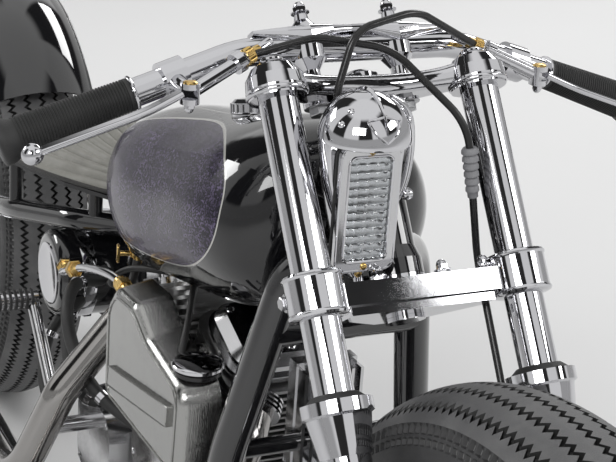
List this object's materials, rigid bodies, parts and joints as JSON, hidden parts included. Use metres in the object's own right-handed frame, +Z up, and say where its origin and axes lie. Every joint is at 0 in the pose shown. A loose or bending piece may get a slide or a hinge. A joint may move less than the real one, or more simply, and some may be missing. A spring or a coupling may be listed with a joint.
{
  "type": "chopper motorcycle",
  "caption": "Rigid-frame chopper with a narrow fork, drag bar, teardrop tank and V-twin engine, leaning on its side stand; its wheels, fork and stand move.",
  "frame": {"origin": "on the ground under the middle of the motorcycle as it leans on its side stand", "axes": "+X forward, +Y to the rider's left, +Z up; the motorcycle leans 6.5 degrees to the left about X"},
  "size_m": [2.3173, 0.6587, 0.8957],
  "materials": {
    "tyre": "matt ribbed rubber",
    "wheel_metal": "bright plated steel",
    "polished_alloy": "hand-polished aluminium",
    "steel": "plain machined steel",
    "chrome": "mirror chrome",
    "black_rubber": "black moulded rubber",
    "lamp_glass": "ribbed clear glass",
    "cable_sheath": "black cable outer",
    "gloss_black": "deep gloss black paint",
    "tank_paint": "gloss black with a metalflake side panel",
    "seat_base": "black vinyl over a steel pan",
    "seat_leather": "pale pleated vinyl",
    "tail_red": "clear red lens in a chrome ring",
    "cast_alloy": "satin cast aluminium",
    "chain_steel": "oiled chain steel"
  },
  "bodies": {
    "frame": {"rear_brake_plate": "polished_alloy", "rear_axle": "steel", "clutch_cable_lower": "cable_sheath", "steering_head": "gloss_black", "backbone": "gloss_black", "axle_plates": "gloss_black", "cradle_left": "gloss_black", "cradle_right": "gloss_black", "cross_tubes": "gloss_black", "upper_stays": "gloss_black", "fuel_tank": "tank_paint", "fuel_cap": "chrome", "seat_pan": "seat_base", "seat": "seat_leather", "rear_mudguard": "gloss_black", "tail_lamp": "tail_red", "crankcase": "cast_alloy", "cylinders": "cast_alloy", "cylinder_heads": "cast_alloy", "rocker_boxes": "polished_alloy", "timing_cover": "polished_alloy", "pushrod_tubes": "chrome", "side_cover": "polished_alloy", "regulator": "polished_alloy", "exhaust_pipes": "chrome", "primary_cover": "polished_alloy", "gearbox": "cast_alloy", "kick_starter": "polished_alloy", "oil_tank": "gloss_black", "drive_chain": "chain_steel", "foot_pegs": "black_rubber", "pedals": "chrome"},
    "steering": {"front_brake_plate": "polished_alloy", "front_axle": "steel", "fork_tubes": "chrome", "fork_legs": "chrome", "dust_seals": "black_rubber", "lower_yoke": "polished_alloy", "steering_stem": "steel", "upper_yoke": "polished_alloy", "handlebar": "chrome", "risers": "chrome", "bar_clamp": "chrome", "grips": "black_rubber", "control_perches": "chrome", "levers": "chrome", "headlamp_body": "chrome", "headlamp_bezel": "polished_alloy", "headlamp_lens": "lamp_glass", "lamp_bracket": "chrome", "brake_cable": "cable_sheath", "clutch_cable_upper": "cable_sheath"},
    "front_wheel": {"front_tyre": "tyre", "front_wheel": "wheel_metal"},
    "rear_wheel": {"rear_tyre": "tyre", "rear_wheel": "wheel_metal", "rear_sprocket": "steel"},
    "side_stand": {"side_stand": "gloss_black"}
  },
  "joints": [
    {"name": "steering", "type": "hinge", "parent": "frame", "child": "steering", "pos_m": [0.51356, -0.0082, 0.72308], "axis": [-0.5592, 0.0938, 0.8237], "range_deg": [-30, 30]},
    {"name": "front_wheel_spin", "type": "hinge", "parent": "steering", "child": "front_wheel", "pos_m": [0.82466, -0.05272, 0.33233], "axis": [0, 0.9936, -0.1132], "continuous": true},
    {"name": "rear_wheel_spin", "type": "hinge", "parent": "frame", "child": "rear_wheel", "pos_m": [-0.77534, -0.05272, 0.33233], "axis": [0, 0.9936, -0.1132], "continuous": true},
    {"name": "side_stand_fold", "type": "hinge", "parent": "frame", "child": "side_stand", "pos_m": [0.08466, 0.08654, 0.09706], "axis": [0.342, 0.5399, 0.7691], "range_deg": [0, 105]}
  ]
}
